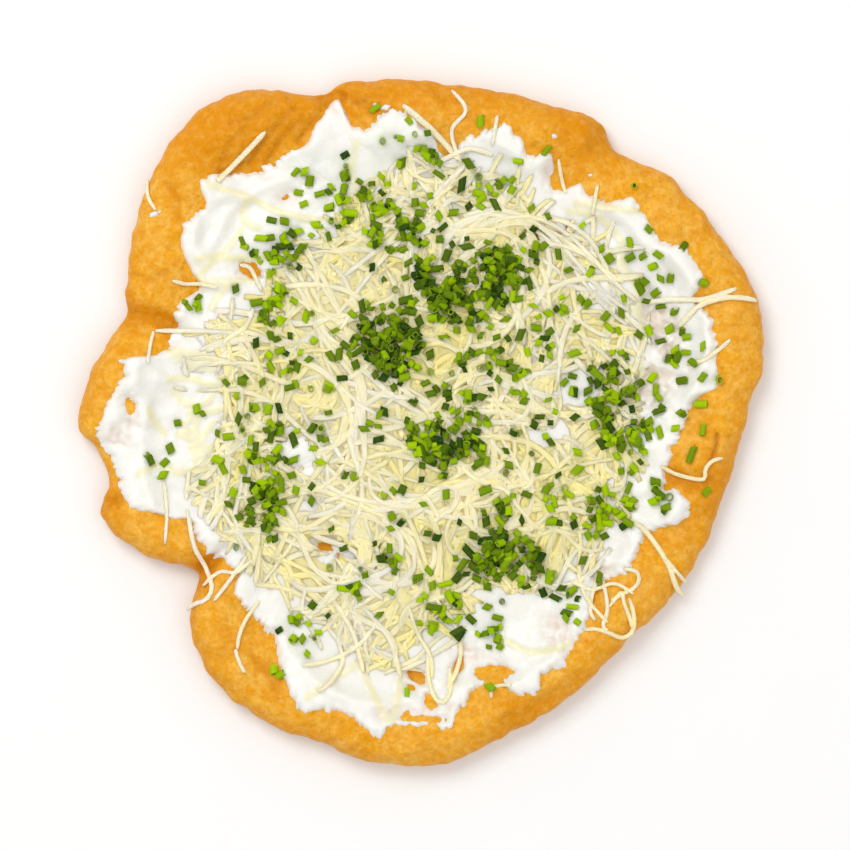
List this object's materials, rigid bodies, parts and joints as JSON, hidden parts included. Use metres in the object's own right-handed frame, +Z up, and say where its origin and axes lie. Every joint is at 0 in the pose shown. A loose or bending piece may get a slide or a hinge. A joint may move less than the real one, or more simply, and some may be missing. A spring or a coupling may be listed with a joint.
{
  "type": "fried flatbread",
  "caption": "Round fried flatbread with a puffed, lobed golden rim, spread with soured cream and heaped with grated cheese and chopped chives",
  "frame": {"origin": "on the flat underside, below the middle of the bounding box", "axes": "+Z up, out of the topped side; the bread's pointed lobe is at -X and its broad smooth edge at +X"},
  "size_m": [0.2404, 0.2401, 0.021],
  "materials": {
    "fried_dough": "golden, a little oily",
    "soured_cream": "moist",
    "grated_cheese": "waxy"
  },
  "bodies": {
    "root": {"flatbread": "fried_dough", "soured_cream": "soured_cream", "grated_cheese": "grated_cheese"}
  },
  "joints": []
}
